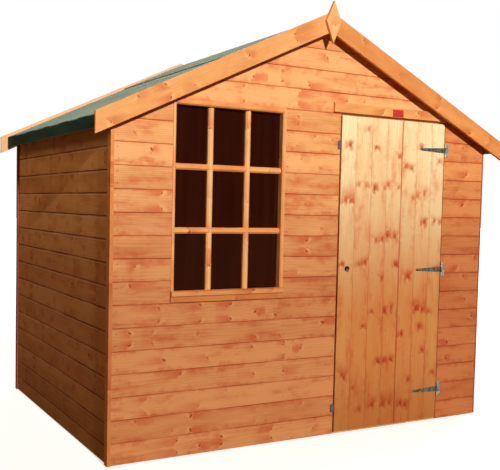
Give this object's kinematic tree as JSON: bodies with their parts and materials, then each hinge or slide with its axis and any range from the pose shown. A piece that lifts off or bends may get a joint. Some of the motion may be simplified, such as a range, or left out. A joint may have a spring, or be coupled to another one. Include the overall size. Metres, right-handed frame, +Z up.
{
  "type": "garden shed",
  "caption": "Wooden garden shed with an apex felt roof, horizontal boarding, a ledged and braced door on strap hinges, turn buttons and a barred window.",
  "frame": {"origin": "centre of the floor plan, on the ground under the floor bearers", "axes": "+Z up, +X towards the hinge side of the door, -Y out of the doorway wall"},
  "size_m": [2.652, 1.99, 2.4136],
  "materials": {
    "boarding": "matte",
    "trim": "matte",
    "door_timber": "matte",
    "framing": "matte",
    "roof_felt": "matte",
    "window_glass": "gloss",
    "hinge_steel": "matte",
    "button_steel": "satin",
    "red_label": "matte"
  },
  "bodies": {
    "shed": {"back_cladding": "boarding", "back_wall_rails": "framing", "back_wall_studs": "framing", "bargeboards_left": "trim", "bargeboards_right": "trim", "corner_strips": "trim", "door_head_strip": "trim", "door_hinge_plates": "hinge_steel", "eaves_fascias": "framing", "eaves_felt_flaps": "roof_felt", "floor_bearers": "framing", "floor_boards": "framing", "front_cladding_gable": "boarding", "front_cladding_hinge_side": "boarding", "front_cladding_left": "boarding", "front_cladding_lower": "boarding", "front_cladding_middle": "boarding", "front_corner_strip": "trim", "front_wall_rails": "framing", "front_wall_studs": "framing", "gable_finial": "trim", "label_plate": "red_label", "left_cladding": "boarding", "left_rafters": "framing", "right_cladding": "boarding", "right_rafters": "framing", "roof_bearers": "framing", "roof_boards_left": "framing", "roof_boards_right": "framing", "roof_felt_left": "roof_felt", "roof_felt_right": "roof_felt", "side_wall_rails": "framing", "side_wall_studs": "framing", "turn_button_screws": "button_steel", "window_apron": "trim", "window_bars_level": "trim", "window_bars_upright": "trim", "window_glass": "window_glass", "window_jambs": "trim", "window_rails": "trim", "window_sill": "trim"},
    "door": {"door_lock_board": "door_timber", "door_boards": "door_timber", "door_ledges": "door_timber", "door_braces": "door_timber", "door_hinge_straps": "hinge_steel"},
    "turn_button_lower": {"turn_button_lower": "button_steel"},
    "turn_button_upper": {"turn_button_upper": "button_steel"}
  },
  "joints": [
    {"name": "door_hinge", "type": "hinge", "parent": "shed", "child": "door", "pos_m": [0.899, -0.934, 0.93], "axis": [0, 0, 1], "range_deg": [0, 95]},
    {"name": "turn_button_lower_pivot", "type": "hinge", "parent": "shed", "child": "turn_button_lower", "pos_m": [0.111, -0.9305, 0.155], "axis": [0, 1, 0], "range_deg": [0, 90]},
    {"name": "turn_button_upper_pivot", "type": "hinge", "parent": "shed", "child": "turn_button_upper", "pos_m": [0.111, -0.9305, 1.651], "axis": [0, 1, 0], "range_deg": [0, 90]}
  ]
}
